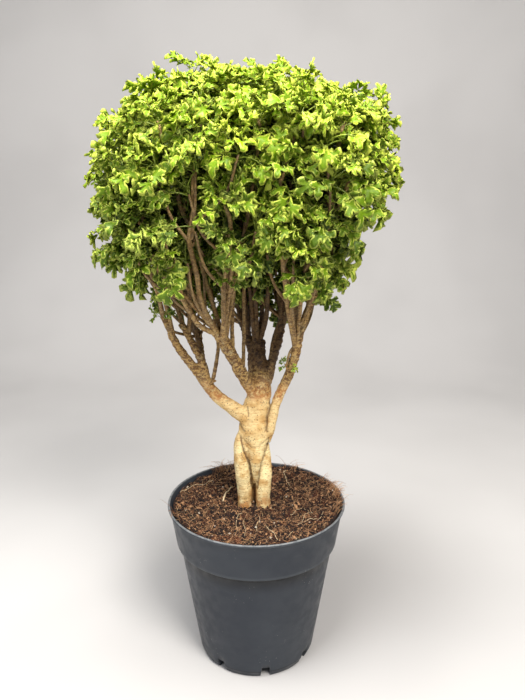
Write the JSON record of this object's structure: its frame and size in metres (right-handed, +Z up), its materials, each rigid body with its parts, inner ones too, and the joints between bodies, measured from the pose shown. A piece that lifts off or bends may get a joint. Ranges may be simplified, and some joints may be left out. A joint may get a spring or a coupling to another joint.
{
  "type": "potted ming aralia bonsai",
  "caption": "Small clipped ming aralia tree with a pale fused trunk, a vase of upright stems and a dense crown of cut, pale-edged leaves, standing in peat in a grey nursery pot.",
  "frame": {"origin": "middle of the pot's underside, on the surface that it stands on", "axes": "+Z up along the pot's axis; the side that the picture shows faces -Y, with its right towards +X"},
  "size_m": [0.3168, 0.279, 0.607],
  "materials": {
    "pot": "moulded slate-grey polypropylene, satin, with faint dust",
    "soil": "loose brown peat with reddish fibres, bark crumbs and pale perlite",
    "bark": "pale tan bark with fine wrinkles and lenticels, browner on the stems",
    "leaf": "fresh green cut leaves with cream to lime edges and a soft sheen"
  },
  "bodies": {
    "root": {"pot": "pot", "soil": "soil", "trunk": "bark", "leafy_shoot_01": "leaf", "leafy_shoot_02": "leaf", "leafy_shoot_03": "leaf", "leafy_shoot_04": "leaf", "leafy_shoot_05": "leaf", "leafy_shoot_06": "leaf", "leafy_shoot_07": "leaf", "leafy_shoot_08": "leaf", "leafy_shoot_09": "leaf", "leafy_shoot_10": "leaf", "leafy_shoot_11": "leaf", "leafy_shoot_12": "leaf", "leafy_shoot_13": "leaf", "leafy_shoot_14": "leaf", "leafy_shoot_15": "leaf", "leafy_shoot_16": "leaf", "leafy_shoot_17": "leaf", "leafy_shoot_18": "leaf", "leafy_shoot_19": "leaf", "leafy_shoot_20": "leaf", "leafy_shoot_21": "leaf", "leafy_shoot_22": "leaf", "leafy_shoot_23": "leaf", "leafy_shoot_24": "leaf", "leafy_shoot_25": "leaf", "leafy_shoot_26": "leaf", "leafy_shoot_27": "leaf", "leafy_shoot_28": "leaf", "leafy_shoot_29": "leaf", "leafy_shoot_30": "leaf", "leafy_shoot_31": "leaf", "leafy_shoot_32": "leaf", "leafy_shoot_33": "leaf", "leafy_shoot_34": "leaf", "leafy_shoot_35": "leaf", "leafy_shoot_36": "leaf", "leafy_shoot_37": "leaf", "leafy_shoot_38": "leaf"}
  },
  "joints": []
}
